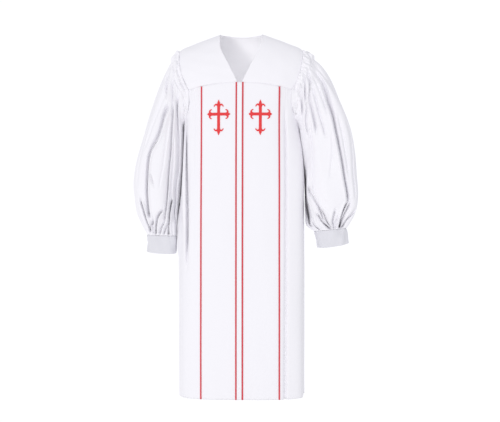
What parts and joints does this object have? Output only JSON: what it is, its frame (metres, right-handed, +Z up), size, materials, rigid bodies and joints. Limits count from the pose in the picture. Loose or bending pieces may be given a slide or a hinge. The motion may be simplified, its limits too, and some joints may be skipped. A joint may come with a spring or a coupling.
{
  "type": "pulpit robe",
  "caption": "Full-length white robe with a V-necked yoke, gathered bishop sleeves with cuffs, red front pipings and red fleury crosses, filled out as worn.",
  "frame": {"origin": "midway between the two neck points, on the shoulder line where the wearer's shoulders hold the robe", "axes": "+Z up, the front faces -Y, +X towards the wearer's left"},
  "size_m": [0.8245, 0.3101, 1.3298],
  "materials": {
    "robe_cloth": "smooth white polyester robe cloth, soft low sheen",
    "piping_cord": "red corded piping",
    "cross_thread": "red satin-stitched embroidery thread"
  },
  "bodies": {
    "root": {"yoke_front_left": "robe_cloth", "yoke_front_right": "robe_cloth", "yoke_back": "robe_cloth", "back_fluted": "robe_cloth", "placket": "robe_cloth", "front_panel_left": "robe_cloth", "front_side_left": "robe_cloth", "sleeve_left": "robe_cloth", "cuff_left": "robe_cloth", "front_panel_right": "robe_cloth", "front_side_right": "robe_cloth", "sleeve_right": "robe_cloth", "cuff_right": "robe_cloth", "piping_outer_left": "piping_cord", "piping_inner_left": "piping_cord", "piping_outer_right": "piping_cord", "piping_inner_right": "piping_cord", "cross_left": "cross_thread", "cross_right": "cross_thread"}
  },
  "joints": []
}
